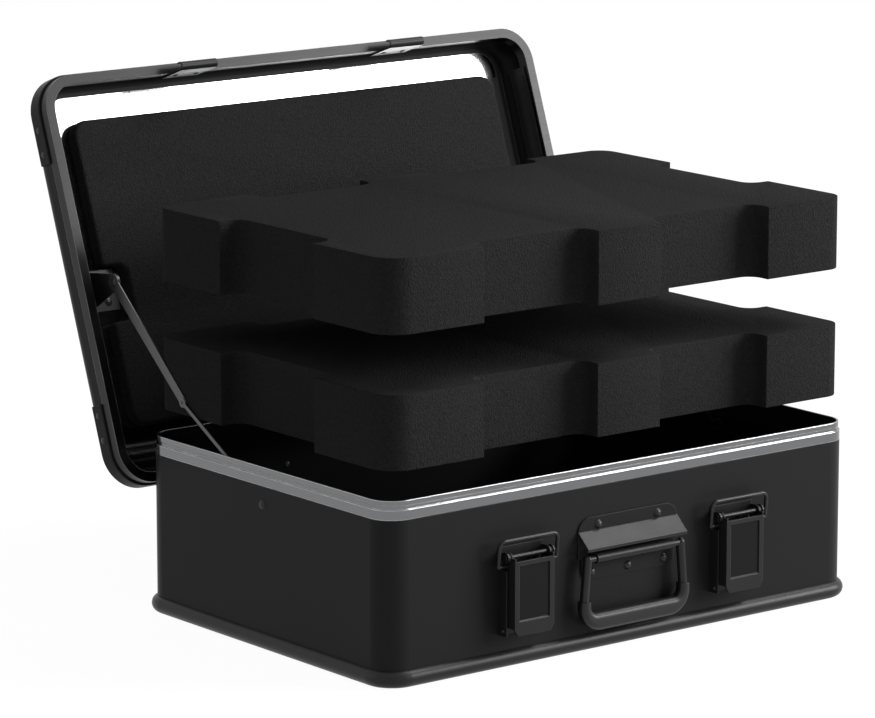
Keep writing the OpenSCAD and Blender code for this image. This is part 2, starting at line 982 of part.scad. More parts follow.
module on_link(angle, origin, x) {
    translate([x, origin[0], origin[1]])
        rotate([angle, 0, 0])
            rotate([90, 0, 90])
                linear_extrude(link_t)
                    children();
}

module stay_lower() {
    color(grey)
        on_link(lower_angle, [0, stay_z], lower_in)
            difference() {
                union() {
                    circle(link_w / 2);
                    translate([0, -rod_w / 2])
                        square([link_l, rod_w]);
                    translate([link_l, 0])
                        circle(eye_r);
                }
                circle(stay_pin_r + run);
                translate([link_l, 0])
                    circle(stay_pin_r);
            }
}

module stay_upper() {
    color(grey)
        on_link(upper_angle, elbow, upper_in)
            difference() {
                union() {
                    circle(eye_r);
                    polygon([[0, -eye_r], [link_l, -link_w / 2], [link_l, link_w / 2], [0, eye_r]]);
                    translate([link_l, 0])
                        circle(hub_r);
                }
                translate([link_l, 0])
                    circle(stay_pin_r + run);
            }
}

module elbow_rivet() {
    color(dark)
        translate([lower_in, elbow[0], elbow[1]])
            rotate([0, 90, 0])
                cylinder(h = link_t, r = stay_pin_r);
}

module stay_lower_left() {
    mirror([1, 0, 0])
        stay_lower();
}

module stay_lower_right() {
    stay_lower();
}

module stay_upper_left() {
    mirror([1, 0, 0])
        stay_upper();
}

module stay_upper_right() {
    stay_upper();
}

module elbow_rivet_left() {
    mirror([1, 0, 0])
        elbow_rivet();
}

module elbow_rivet_right() {
    elbow_rivet();
}

module stay_wall_rivets() {
    color(grey)
        both_sides()
            translate([base_w / 2, 0, stay_z]) {
                rotate([0, 90, 0])
                    dome_rivet(head_r, head_h, shank_r + 0.5, base_wall);
                rotate([0, -90, 0])
                    cylinder(h = base_w / 2 - upper_out, r = stay_pin_r);
                translate([upper_out - base_w / 2, 0, 0])
                    rotate([0, -90, 0])
                        cylinder(h = link_t, r = head_r);
            }
}

module stay_washers() {
    color(dark)
        both_sides()
            translate([lower_out + mouth_gap / 4, 0, stay_z])
                rotate([0, 90, 0])
                    difference() {
                        cylinder(h = wall_in_x - lower_out - mouth_gap / 4, r = link_w / 2);
                        translate([0, 0, -1])
                            cylinder(h = 4 * rim_t, r = stay_pin_r + run);
                    }
}

module stay_brackets() {
    color(dark)
        on_seat()
            both_sides()
                difference() {
                    union() {
                        translate([bracket_in, 0, 0])
                            rotate([90, 0, 90])
                                linear_extrude(bracket_t)
                                    bracket_side();
                        translate([bracket_foot_in, stay_y - bracket_foot_l / 2, liner_low - bracket_t])
                            cube([bracket_out - bracket_foot_in, bracket_foot_l, bracket_t]);
                    }
                    translate([bracket_in - 1, stay_y, -stay_drop])
                        rotate([0, 90, 0])
                            cylinder(h = bracket_t + 2, r = stay_pin_r);
                    for (s = [-1, 1])
                        translate([foot_rivet_x, stay_y + s * foot_rivet_y, liner_low - 2 * bracket_t])
                            cylinder(h = 3 * bracket_t, r = shank_r);
                }
}

module bracket_side() {
    translate([stay_y, -stay_drop])
        circle(hub_r);
    polygon([[stay_y - hub_r, -stay_drop], [stay_y + hub_r, -stay_drop],
        [stay_y + bracket_foot_l / 2, liner_low], [stay_y - bracket_foot_l / 2, liner_low]]);
}

module bracket_rivets() {
    color(grey)
        on_seat()
            both_sides()
                for (s = [-1, 1])
                    translate([foot_rivet_x, stay_y + s * foot_rivet_y, liner_low - bracket_t])
                        rotate([180, 0, 0])
                            dome_rivet(head_r, flat_head_h, shank_r, bracket_t);
}

module bracket_pivots() {
    color(grey)
        on_seat()
            both_sides()
                translate([bracket_in, stay_y, -stay_drop]) {
                    rotate([0, -90, 0])
                        cylinder(h = flat_head_h, r = head_r);
                    rotate([0, 90, 0])
                        cylinder(h = upper_out - bracket_in + slide, r = stay_pin_r);
                    translate([upper_out - bracket_in + slide, 0, 0])
                        rotate([0, 90, 0])
                            dome_rivet(head_r, link_t - slide, stay_pin_r, slide);
                }
}

// Lid

module lid_wall_section() {
    translate([-lid_wall, lid_rim_h])
        square([lid_wall, lid_h - lid_edge_r - lid_rim_h]);
    intersection() {
        difference() {
            translate([-lid_edge_r, lid_h - lid_edge_r])
                circle(lid_edge_r);
            translate([-lid_edge_r, lid_h - lid_edge_r])
                circle(lid_edge_r - lid_wall);
        }
        translate([-lid_edge_r, lid_h - lid_edge_r])
            square(lid_edge_r);
    }
}

module lid_shell() {
    color(black)
        on_seat() {
            ring(lid_w, lid_d, lid_r)
                lid_wall_section();
            translate([0, 0, lid_in_h])
                linear_extrude(lid_wall)
                    rounded(lid_w - 2 * lid_edge_r, lid_d - 2 * lid_edge_r,
                        [for (i = [0:3]) lid_r - lid_edge_r]);
        }
}

module lid_rim() {
    color(grey)
        difference() {
            on_seat()
                lid_rim_ring();
            lid_open()
                at_hinges()
                    leaf_holes(lid_rivet_rise);
        }
}

module lid_rim_ring() {
    ring(lid_w, lid_d, lid_r) {
        translate([-lid_rim_w, 0])
            square([lid_rim_w, lid_rim_t]);
        translate([-lid_rim_t, 0])
            square([lid_rim_t, lid_rim_h]);
        translate([-lid_wall - lid_rim_t, lid_rim_h - lid_rim_t])
            square([lid_rim_t + lid_wall, lid_rim_t]);
        translate([-lid_wall - lid_rim_t, lid_rim_h - lid_rim_t])
            square([lid_rim_t, lid_skirt_h]);
        translate([-lid_rim_w, 0])
            square([lid_rim_t, lid_flange_h]);
    }
}

module lid_liner() {
    color(bright)
        on_seat()
            translate([0, 0, liner_low])
                linear_extrude(liner_t)
                    rounded(lid_w - 2 * liner_inset, lid_d - 2 * liner_inset,
                        [for (i = [0:3]) lid_r - liner_inset]);
}

module lid_seal() {
    color(dark)
        on_seat()
            ring(base_w, base_d, base_r)
                translate([-seal_in, liner_low - seal_t])
                    square([seal_in + seal_out, seal_t]);
}

module lid_pad() {
    color(foam_colour)
        on_seat()
            translate([0, pad_y, pad_low])
                linear_extrude(pad_t)
                    difference() {
                        rounded(pad_w, pad_d, [pad_r, pad_r, pad_r, pad_r]);
                        for (s = [-1, 1])
                            translate([s * pad_w / 2, pad_notch_y - pad_y])
                                rounded(2 * pad_notch_deep, pad_notch_l,
                                    [for (i = [0:3]) pad_notch_r]);
                    }
}

module corner_plates() {
    color(black)
        on_seat()
            difference() {
                intersection() {
                    ring(lid_w, lid_d, lid_r)
                        translate([0, plate_low])
                            plate_section();
                    for (sx = [-1, 1], sy = [-1, 1])
                        translate([sx * (lid_w / 2 + plate_t - plate_l / 2),
                            sy * (lid_d / 2 + plate_t - plate_l / 2), plate_low + plate_h / 2])
                            cube([plate_l, plate_l, 2 * plate_h], center = true);
                }
                at_corner_rivets()
                    cylinder(h = 4 * plate_t, r = shank_r, center = true);
            }
}

module plate_section() {
    polygon([[0, 0], [plate_t - plate_chamfer, 0], [plate_t, plate_chamfer],
        [plate_t, plate_h - plate_chamfer], [plate_t - plate_chamfer, plate_h], [0, plate_h]]);
}

module at_corner_rivets() {
    for (sx = [0, 1], sy = [0, 1], along = corner_rivet_y)
        mirror([sx, 0, 0])
            mirror([0, sy, 0])
                translate([lid_w / 2 + plate_t, lid_d / 2 - along, plate_low + plate_h / 2])
                    rotate([0, 90, 0])
                        children();
}

module corner_rivets() {
    color(grey)
        on_seat()
            at_corner_rivets()
                dome_rivet(small_head_r, flat_head_h, shank_r, plate_t);
}

module side_strips() {
    color(dark)
        on_seat()
            difference() {
                both_sides()
                    translate([lid_w / 2 - lid_rim_w - strip_t, -strip_l / 2, strip_low])
                        cube([strip_t, strip_l, strip_h]);
                at_strip_rivets()
                    cylinder(h = 4 * strip_t, r = shank_r, center = true);
            }
}

module at_strip_rivets() {
    both_sides()
        for (s = [-1, 1])
            translate([lid_w / 2 - lid_rim_w - strip_t, s * (strip_l / 2 - strip_rivet_in),
                strip_low + strip_rivet_up])
                rotate([0, -90, 0])
                    children();
}

module side_strip_rivets() {
    color(grey)
        on_seat()
            at_strip_rivets()
                dome_rivet(small_head_r, flat_head_h, shank_r, strip_t);
}

module latch_keepers() {
    color(dark)
        on_seat()
            difference() {
                for (s = [-1, 1])
                    translate([s * latch_x, 0, 0])
                        along_x(keeper_w)
                            keeper_section();
                at_keeper_rivets()
                    cylinder(h = 4 * keeper_t, r = shank_r, center = true);
            }
}

module keeper_section() {
    mid = hook_z - lid_seat_z;
    inner = wire_r + 1;
    outer = inner + keeper_t;
    translate([keeper_face, mid])
        square([keeper_t, keeper_top - mid]);
    intersection() {
        translate([hook_y, mid])
            difference() {
                circle(outer);
                circle(inner);
            }
        translate([hook_y - outer, mid - outer])
            square([2 * outer, outer]);
    }
    translate([hook_y - outer, mid])
        square([keeper_t, hook_lip]);
}

module at_keeper_rivets() {
    for (s = [-1, 1], x = [-keeper_rivet_x, keeper_rivet_x])
        translate([s * latch_x + x, keeper_face + keeper_t, lid_flange_h / 2])
            rotate([-90, 0, 0])
                children();
}

module keeper_rivets() {
    color(grey)
        on_seat()
            at_keeper_rivets()
                dome_rivet(small_head_r, flat_head_h, shank_r, keeper_t);
}

// Foam layers

module foam_layer() {
    linear_extrude(foam_t)
        difference() {
            translate([0, foam_y])
                rounded(foam_w, foam_d, [foam_r_near, foam_r, foam_r, foam_r]);
            foam_notch(-foam_w / 2, 0, 2 * notch_deep, side_notch_l);
            foam_notch(foam_w / 2, 0, 2 * notch_deep, side_notch_l);
            for (s = [-1, 1]) {
                edge = foam_y + s * foam_d / 2;
                foam_notch(-(front_notch[0] + front_notch[1]) / 2, edge,
                    front_notch[1] - front_notch[0], 2 * notch_deep);
                foam_notch((front_notch_far[0] + front_notch_far[1]) / 2, edge,
                    front_notch_far[1] - front_notch_far[0], 2 * notch_deep);
            }
        }
}

module foam_notch(x, y, w, d) {
    translate([x, y])
        rounded(w, d, [for (i = [0:3]) notch_r]);
}

module foam_upper() {
    color(foam_colour)
        translate([0, 0, upper_lift_z])
            foam_layer();
}

module foam_lower() {
    color(foam_colour)
        translate([0, 0, lower_lift_z])
            foam_layer();
}

base_shell();
base_bead();
base_rim();
base_hinge_leaves();
hinge_pins();
base_hinge_rivets();
latch_plates();
latch_plate_rivets();
latch_pins();
latch_washers();
handle_plate();
handle_cover();
handle_bearings();
handle_rivets();
stay_wall_rivets();
stay_washers();
stay_lower_left();
stay_lower_right();
elbow_rivet_left();
elbow_rivet_right();
lid_shell();
lid_rim();
lid_liner();
lid_seal();
lid_pad();
lid_hinge_leaves();
lid_hinge_rivets();
corner_plates();
corner_rivets();
side_strips();
side_strip_rivets();
latch_keepers();
keeper_rivets();
stay_brackets();
bracket_rivets();
bracket_pivots();
stay_upper_left();
stay_upper_right();
foam_upper();
foam_lower();
latch_lever_left();
latch_lever_right();
label_plate_left();
label_plate_right();
latch_bail_left();
latch_bail_right();
handle_bar();
handle_grip();
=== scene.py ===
import math

import bpy
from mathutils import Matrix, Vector


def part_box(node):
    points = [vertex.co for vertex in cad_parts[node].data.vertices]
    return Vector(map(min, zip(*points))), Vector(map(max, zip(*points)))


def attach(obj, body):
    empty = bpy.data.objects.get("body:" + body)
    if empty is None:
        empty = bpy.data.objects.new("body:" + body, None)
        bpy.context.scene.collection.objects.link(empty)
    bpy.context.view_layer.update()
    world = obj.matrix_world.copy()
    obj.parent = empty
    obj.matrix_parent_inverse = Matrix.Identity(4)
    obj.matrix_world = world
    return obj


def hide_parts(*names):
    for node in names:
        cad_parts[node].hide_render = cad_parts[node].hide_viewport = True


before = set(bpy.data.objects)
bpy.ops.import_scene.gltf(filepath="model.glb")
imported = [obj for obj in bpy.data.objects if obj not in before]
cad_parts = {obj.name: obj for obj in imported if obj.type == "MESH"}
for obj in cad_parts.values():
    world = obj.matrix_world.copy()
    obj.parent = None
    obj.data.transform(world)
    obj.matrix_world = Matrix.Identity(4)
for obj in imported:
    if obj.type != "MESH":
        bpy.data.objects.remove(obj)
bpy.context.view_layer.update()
scene = bpy.context.scene
print("frame loaded")


# camera, light and floor

camera = {
    "place": (-2.7895, -3.4412, 1.1473),
    "tilt": 78.404,
    "turn": -38.258,
    "lens": 195.5,
    "sensor": 36.0,
    "clipEnd": 60,
}


def addCamera():
    data = bpy.data.cameras.new("camera")
    data.lens = camera["lens"]
    data.sensor_width = camera["sensor"]
    data.clip_end = camera["clipEnd"]
    obj = bpy.data.objects.new("camera", data)
    obj.location = camera["place"]
    obj.rotation_euler = (math.radians(camera["tilt"]), 0, math.radians(camera["turn"]))
    scene.collection.objects.link(obj)
    scene.camera = obj


# strengths are plain: a colour renders about as it is written
studio = {
    "worldLight": 0.24,
    "background": 1.0,
    "floorColour": (0.74, 0.74, 0.74, 1),
    "floorGlow": 1.14,
    "floorShare": 0.84,
    "floorSize": 24.0,
    "floorDrop": 0.0005,  # keeps it clear of the underside
    "lamps": [
        # name, place, aims at, width, height, watts
        ("keyRight", (3.2, -2.5, 1.5), (0, 0, 0.25), 2.2, 1.8, 185),
        ("topSoft", (1.7, -0.7, 2.6), (0, 0, 0.2), 1.1, 1.0, 37),
        ("farLeft", (-3.0, 1.2, 1.3), (0, 0, 0.25), 1.6, 1.8, 6),
    ],
}


def seenDirectly(tree, path):
    # one where a ray comes from the camera, a reflection or a clear surface
    value = path.outputs["Is Camera Ray"]
    for kind in ("Is Glossy Ray", "Is Transmission Ray"):
        either = tree.nodes.new("ShaderNodeMath")
        either.operation = "MAXIMUM"
        tree.links.new(value, either.inputs[0])
        tree.links.new(path.outputs[kind], either.inputs[1])
        value = either.outputs[0]
    return value


def addWorld():
    world = bpy.data.worlds.new("studio")
    scene.world = world
    world.use_nodes = True
    tree = world.node_tree
    tree.nodes.clear()
    path = tree.nodes.new("ShaderNodeLightPath")
    plain = tree.nodes.new("ShaderNodeBackground")
    plain.inputs["Strength"].default_value = studio["worldLight"]
    white = tree.nodes.new("ShaderNodeBackground")
    white.inputs["Strength"].default_value = studio["background"]
    for node in (plain, white):
        node.inputs["Color"].default_value = (1, 1, 1, 1)
    mix = tree.nodes.new("ShaderNodeMixShader")
    out = tree.nodes.new("ShaderNodeOutputWorld")
    link = tree.links.new
    link(seenDirectly(tree, path), mix.inputs[0])
    link(plain.outputs[0], mix.inputs[1])
    link(white.outputs[0], mix.inputs[2])
    link(mix.outputs[0], out.inputs[0])


def addLamps():
    for name, place, target, width, height, watts in studio["lamps"]:
        data = bpy.data.lights.new(name, "AREA")
        data.shape = "RECTANGLE"
        data.size = width
        data.size_y = height
        data.energy = watts
        obj = bpy.data.objects.new(name, data)
        obj.location = place
        aim = Vector(target) - Vector(place)
        obj.rotation_euler = aim.to_track_quat("-Z", "Y").to_euler()
        scene.collection.objects.link(obj)


def addFloor():
    bpy.ops.object.select_all(action="DESELECT")
    place = (0, 0, -studio["floorDrop"])
    bpy.ops.mesh.primitive_plane_add(size=studio["floorSize"], location=place)
    floor = bpy.context.object
    floor.name = "floor"
    mat = bpy.data.materials.new("paleFloor")
    mat.use_nodes = True
    tree = mat.node_tree
    tree.nodes.clear()
    diffuse = tree.nodes.new("ShaderNodeBsdfDiffuse")
    diffuse.inputs["Color"].default_value = studio["floorColour"]
    glow = tree.nodes.new("ShaderNodeEmission")
    glow.inputs["Strength"].default_value = studio["floorGlow"]
    path = tree.nodes.new("ShaderNodeLightPath")
    share = tree.nodes.new("ShaderNodeMath")
    share.operation = "MULTIPLY"
    share.inputs[1].default_value = studio["floorShare"]
    mix = tree.nodes.new("ShaderNodeMixShader")
    out = tree.nodes.new("ShaderNodeOutputMaterial")
    link = tree.links.new
    seen = seenDirectly(tree, path)
    link(seen, share.inputs[0])
    link(share.outputs[0], mix.inputs[0])
    link(diffuse.outputs[0], mix.inputs[1])
    link(glow.outputs[0], mix.inputs[2])
    link(mix.outputs[0], out.inputs[0])
    floor.data.materials.append(mat)


scene.view_settings.view_transform = "Standard"
addCamera()
addWorld()
addLamps()
addFloor()
print("camera, light and floor placed")


# shared shader groups


def makeGroup(name, inputs, outputs):
    group = bpy.data.node_groups.new(name, "ShaderNodeTree")
    for label, kind, value in inputs:
        socket = group.interface.new_socket(name=label, in_out="INPUT", socket_type=kind)
        if value is not None:
            socket.default_value = value
    for label, kind in outputs:
        group.interface.new_socket(name=label, in_out="OUTPUT", socket_type=kind)
    start = group.nodes.new("NodeGroupInput")
    end = group.nodes.new("NodeGroupOutput")
    return group, start, end


grainLook = {
    "grainSize": 900.0,
    "waveSize": 60.0,
    "waveShare": 0.2,
    "fineDetail": 3,
    "waveDetail": 2,
}


def grainGroup():
    # fine pits and waves of a coated or cut surface
    group, start, end = makeGroup(
        "surfaceGrain",
        [
            ("Vector", "NodeSocketVector", None),
            ("Grain Size", "NodeSocketFloat", grainLook["grainSize"]),
            ("Wave Size", "NodeSocketFloat", grainLook["waveSize"]),
            ("Wave Share", "NodeSocketFloat", grainLook["waveShare"]),
        ],
        [("Height", "NodeSocketFloat"), ("Mask", "NodeSocketFloat")],
    )
    link = group.links.new
    fine = group.nodes.new("ShaderNodeTexNoise")
    fine.inputs["Detail"].default_value = grainLook["fineDetail"]
    slow = group.nodes.new("ShaderNodeTexNoise")
    slow.inputs["Detail"].default_value = grainLook["waveDetail"]
    mix = group.nodes.new("ShaderNodeMix")
    mix.data_type = "FLOAT"
    link(start.outputs["Vector"], fine.inputs["Vector"])
    link(start.outputs["Vector"], slow.inputs["Vector"])
    link(start.outputs["Grain Size"], fine.inputs["Scale"])
    link(start.outputs["Wave Size"], slow.inputs["Scale"])
    link(start.outputs["Wave Share"], mix.inputs["Factor"])
    link(fine.outputs["Fac"], mix.inputs["A"])
    link(slow.outputs["Fac"], mix.inputs["B"])
    link(mix.outputs["Result"], end.inputs["Height"])
    link(slow.outputs["Fac"], end.inputs["Mask"])
    return group


brushedLook = {"stretch": (2.0, 2.0, 900.0), "scale": 1.0, "detail": 4}


def brushedGroup():
    # long fine lines along one axis of the piece
    group, start, end = makeGroup(
        "brushedLines",
        [
            ("Vector", "NodeSocketVector", None),
            ("Stretch", "NodeSocketVector", brushedLook["stretch"]),
        ],
        [("Height", "NodeSocketFloat")],
    )
    link = group.links.new
    scale = group.nodes.new("ShaderNodeVectorMath")
    scale.operation = "MULTIPLY"
    noise = group.nodes.new("ShaderNodeTexNoise")
    noise.inputs["Scale"].default_value = brushedLook["scale"]
    noise.inputs["Detail"].default_value = brushedLook["detail"]
    link(start.outputs["Vector"], scale.inputs[0])
    link(start.outputs["Stretch"], scale.inputs[1])
    link(scale.outputs[0], noise.inputs["Vector"])
    link(noise.outputs["Fac"], end.inputs["Height"])
    return group


cellLook = {
    "cellSize": 420.0,
    "smoothness": 0.35,
    "wormDetail": 4,
    "wormDistortion": 0.6,
    "wormShare": 0.55,  # of the cells' scale
}


def foamGroup():
    # open cut cells: small soft-edged pits with worms of denser skin
    group, start, end = makeGroup(
        "cutFoam",
        [
            ("Vector", "NodeSocketVector", None),
            ("Cell Size", "NodeSocketFloat", cellLook["cellSize"]),
        ],
        [("Height", "NodeSocketFloat"), ("Tone", "NodeSocketFloat")],
    )
    link = group.links.new
    cells = group.nodes.new("ShaderNodeTexVoronoi")
    cells.feature = "SMOOTH_F1"
    cells.inputs["Smoothness"].default_value = cellLook["smoothness"]
    worms = group.nodes.new("ShaderNodeTexNoise")
    worms.inputs["Detail"].default_value = cellLook["wormDetail"]
    worms.inputs["Distortion"].default_value = cellLook["wormDistortion"]
    coarser = group.nodes.new("ShaderNodeMath")
    coarser.operation = "MULTIPLY"
    coarser.inputs[1].default_value = cellLook["wormShare"]
    add = group.nodes.new("ShaderNodeMath")
    add.operation = "ADD"
    link(start.outputs["Vector"], cells.inputs["Vector"])
    link(start.outputs["Vector"], worms.inputs["Vector"])
    link(start.outputs["Cell Size"], cells.inputs["Scale"])
    link(start.outputs["Cell Size"], coarser.inputs[0])
    link(coarser.outputs[0], worms.inputs["Scale"])
    link(cells.outputs["Distance"], add.inputs[0])
    link(worms.outputs["Fac"], add.inputs[1])
    link(add.outputs[0], end.inputs["Height"])
    link(worms.outputs["Fac"], end.inputs["Tone"])
    return group


# radius and samples round the normals; the other numbers shape the painted highlight along the
# edges
edgeLook = {
    "radius": 0.0008,
    "samples": 6,
    "flat": 0.995,  # how far the rounded and the plain normal agree
    "fullHighlight": 0.82,
    "patchScale": 35.0,
    "patchDetail": 5,
}


def edgeGroup():
    # rounded normals at sharp edges, and a mask for a painted highlight along those edges,
    # broken into uneven patches
    group, start, end = makeGroup(
        "paintedEdgeHighlights",
        [
            ("Vector", "NodeSocketVector", None),
            ("Radius", "NodeSocketFloat", edgeLook["radius"]),
        ],
        [("Normal", "NodeSocketVector"), ("Highlight Mask", "NodeSocketFloat")],
    )
    link = group.links.new
    soft = group.nodes.new("ShaderNodeBevel")
    soft.samples = edgeLook["samples"]
    plain = group.nodes.new("ShaderNodeNewGeometry")
    same = group.nodes.new("ShaderNodeVectorMath")
    same.operation = "DOT_PRODUCT"
    spread = group.nodes.new("ShaderNodeMapRange")
    spread.inputs["From Min"].default_value = edgeLook["flat"]
    spread.inputs["From Max"].default_value = edgeLook["fullHighlight"]
    patches = group.nodes.new("ShaderNodeTexNoise")
    patches.inputs["Scale"].default_value = edgeLook["patchScale"]
    patches.inputs["Detail"].default_value = edgeLook["patchDetail"]
    paintedHighlight = group.nodes.new("ShaderNodeMath")
    paintedHighlight.operation = "MULTIPLY"
    link(start.outputs["Vector"], patches.inputs["Vector"])
    link(start.outputs["Radius"], soft.inputs["Radius"])
    link(soft.outputs["Normal"], same.inputs[0])
    link(plain.outputs["Normal"], same.inputs[1])
    link(same.outputs["Value"], spread.inputs["Value"])
    link(spread.outputs["Result"], paintedHighlight.inputs[0])
    link(patches.outputs["Fac"], paintedHighlight.inputs[1])
    link(soft.outputs["Normal"], end.inputs["Normal"])
    link(paintedHighlight.outputs["Value"], end.inputs["Highlight Mask"])
    return group


groups = {
    "grain": grainGroup(),
    "brushed": brushedGroup(),
    "foam": foamGroup(),
    "edges": edgeGroup(),
}


# materials

bumpDepth = {"coated": 0.0004, "brushed": 0.0002}


def startMaterial(name):
    mat = bpy.data.materials.new(name)
    mat.use_nodes = True
    tree = mat.node_tree
    shader = tree.nodes["Principled BSDF"]
    coords = tree.nodes.new("ShaderNodeTexCoord")
    return mat, tree, shader, coords


def placeGroup(tree, coords, key):
    node = tree.nodes.new("ShaderNodeGroup")
    node.node_tree = groups[key]
    tree.links.new(coords.outputs["Object"], node.inputs["Vector"])
    return node


def bumpFrom(tree, shader, height, strength, distance):
    bump = tree.nodes.new("ShaderNodeBump")
    bump.inputs["Strength"].default_value = strength
    bump.inputs["Distance"].default_value = distance
    tree.links.new(height, bump.inputs["Height"])
    tree.links.new(bump.outputs["Normal"], shader.inputs["Normal"])
    return bump


def rangeFrom(tree, value, ends, target):
    spread = tree.nodes.new("ShaderNodeMapRange")
    spread.inputs["To Min"].default_value = ends[0]
    spread.inputs["To Max"].default_value = ends[1]
    tree.links.new(value, spread.inputs["Value"])
    tree.links.new(spread.outputs["Result"], target)


def paintHighlightColour(tree, coords, shader, bump, s):
    # painted highlight: a lighter colour laid along the sharp edges in uneven patches, standing
    # in for the light they catch, where the normals are rounded too
    edges = placeGroup(tree, coords, "edges")
    edges.inputs["Radius"].default_value = s["edge"]
    tree.links.new(edges.outputs["Normal"], bump.inputs["Normal"])
    tone = tree.nodes.new("ShaderNodeMix")
    tone.data_type = "RGBA"
    tone.inputs["A"].default_value = (*s["colour"], 1)
    tone.inputs["B"].default_value = (*s["paintedHighlight"], 1)
    tree.links.new(edges.outputs["Highlight Mask"], tone.inputs["Factor"])
    tree.links.new(tone.outputs["Result"], shader.inputs["Base Color"])


def coatedMaterial(name, s):
    # powder coat or paint: a colour, a fine orange-peel grain, an uneven gloss and a painted
    # highlight along its sharp edges
    mat, tree, shader, coords = startMaterial(name)
    shader.inputs["Specular IOR Level"].default_value = s["specular"]
    grain = placeGroup(tree, coords, "grain")
    grain.inputs["Grain Size"].default_value = s["grain"]
    bump = bumpFrom(tree, shader, grain.outputs["Height"], s["bump"], bumpDepth["coated"])
    paintHighlightColour(tree, coords, shader, bump, s)
    rangeFrom(tree, grain.outputs["Mask"], s["gloss"], shader.inputs["Roughness"])
    return mat


def brushedMaterial(name, s):
    # bare metal with fine lines along the piece and a painted highlight along its sharp edges
    mat, tree, shader, coords = startMaterial(name)
    shader.inputs["Metallic"].default_value = 1.0
    lines = placeGroup(tree, coords, "brushed")
    lines.inputs["Stretch"].default_value = s["stretch"]
    bump = bumpFrom(tree, shader, lines.outputs["Height"], s["bump"], bumpDepth["brushed"])
    paintHighlightColour(tree, coords, shader, bump, s)
    rangeFrom(tree, lines.outputs["Height"], s["gloss"], shader.inputs["Roughness"])
    return mat


def foamMaterial(name, s):
    # cut foam, paler where its skin is denser
    mat, tree, shader, coords = startMaterial(name)
    shader.inputs["Specular IOR Level"].default_value = s["specular"]
    cells = placeGroup(tree, coords, "foam")
    cells.inputs["Cell Size"].default_value = s["cells"]
    tone = tree.nodes.new("ShaderNodeMix")
    tone.data_type = "RGBA"
    tone.inputs["A"].default_value = (*s["dark"], 1)
    tone.inputs["B"].default_value = (*s["light"], 1)
    tree.links.new(cells.outputs["Tone"], tone.inputs["Factor"])
    tree.links.new(tone.outputs["Result"], shader.inputs["Base Color"])
    bumpFrom(tree, shader, cells.outputs["Height"], s["bump"], s["depth"])
    rangeFrom(tree, cells.outputs["Tone"], s["gloss"], shader.inputs["Roughness"])
    return mat


# each look's second colour is a painted highlight, laid along its sharp edges
coatedLooks = {
    "caseBlack": {
        "colour": (0.0175, 0.0175, 0.018),
        "paintedHighlight": (0.09, 0.09, 0.092),
        "specular": 0.06,
        "grain": 1500.0,
        "bump": 0.12,
        "gloss": (0.34, 0.44),
        "edge": 0.0012,
    },
    "latchBlack": {
        "colour": (0.016, 0.016, 0.0165),
        "paintedHighlight": (0.09, 0.09, 0.092),
        "specular": 0.16,
        "grain": 900.0,
        "bump": 0.1,
        "gloss": (0.3, 0.4),
        "edge": 0.0008,
    },
    "coverBlack": {
        "colour": (0.018, 0.018, 0.0185),
        "paintedHighlight": (0.25, 0.25, 0.252),
        "specular": 0.14,
        "grain": 900.0,
        "bump": 0.08,
        "gloss": (0.26, 0.36),
        "edge": 0.001,
    },
    "beadBlack": {
        "colour": (0.012, 0.012, 0.0123),
        "paintedHighlight": (0.08, 0.08, 0.081),
        "specular": 0.22,
        "grain": 1500.0,
        "bump": 0.08,
        "gloss": (0.34, 0.42),
        "edge": 0.0008,
    },
    "labelBlack": {
        "colour": (0.01, 0.01, 0.0105),
        "paintedHighlight": (0.05, 0.05, 0.05),
        "specular": 0.06,
        "grain": 2500.0,
        "bump": 0.05,
        "gloss": (0.4, 0.5),
        "edge": 0.0003,
    },
    "wireBlack": {
        "colour": (0.012, 0.012, 0.012),
        "paintedHighlight": (0.06, 0.06, 0.06),
        "specular": 0.25,
        "grain": 800.0,
        "bump": 0.05,
        "gloss": (0.25, 0.35),
        "edge": 0.0004,
    },
    "gripBlack": {
        "colour": (0.008, 0.008, 0.0082),
        "paintedHighlight": (0.012, 0.012, 0.012),
        "specular": 0.32,
        "grain": 700.0,
        "bump": 0.1,
        "gloss": (0.36, 0.44),
        "edge": 0.0005,
    },
    "rivetBlack": {
        "colour": (0.018, 0.018, 0.0185),
        "paintedHighlight": (0.1, 0.1, 0.1),
        "specular": 0.25,
        "grain": 700.0,
        "bump": 0.06,
        "gloss": (0.25, 0.35),
        "edge": 0.0003,
    },
    "sealGrey": {
        "colour": (0.012, 0.012, 0.0125),
        "paintedHighlight": (0.03, 0.03, 0.03),
        "specular": 0.2,
        "grain": 900.0,
        "bump": 0.1,
        "gloss": (0.5, 0.65),
        "edge": 0.0005,
    },
}

# each look's second colour is a painted highlight, laid along its sharp edges
brushedLooks = {
    "brightRim": {
        "colour": (0.17, 0.172, 0.176),
        "paintedHighlight": (0.95, 0.95, 0.96),
        "stretch": (3.0, 3.0, 900.0),
        "bump": 0.08,
        "gloss": (0.14, 0.24),
        "edge": 0.0012,
    },
    "linerBright": {
        "colour": (0.62, 0.625, 0.63),
        "paintedHighlight": (0.7, 0.7, 0.7),
        "stretch": (40.0, 3.0, 3.0),
        "bump": 0.02,
        "gloss": (0.08, 0.14),
        "edge": 0.0003,
    },
    "lidRimGrey": {
        "colour": (0.0245, 0.0245, 0.025),
        "paintedHighlight": (0.35, 0.35, 0.355),
        "stretch": (6.0, 300.0, 300.0),
        "bump": 0.05,
        "gloss": (0.28, 0.38),
        "edge": 0.0008,
    },
    "staySteel": {
        "colour": (0.085, 0.085, 0.087),
        "paintedHighlight": (0.3, 0.3, 0.3),
        "stretch": (400.0, 60.0, 60.0),
        "bump": 0.05,
        "gloss": (0.34, 0.44),
        "edge": 0.0004,
    },
}

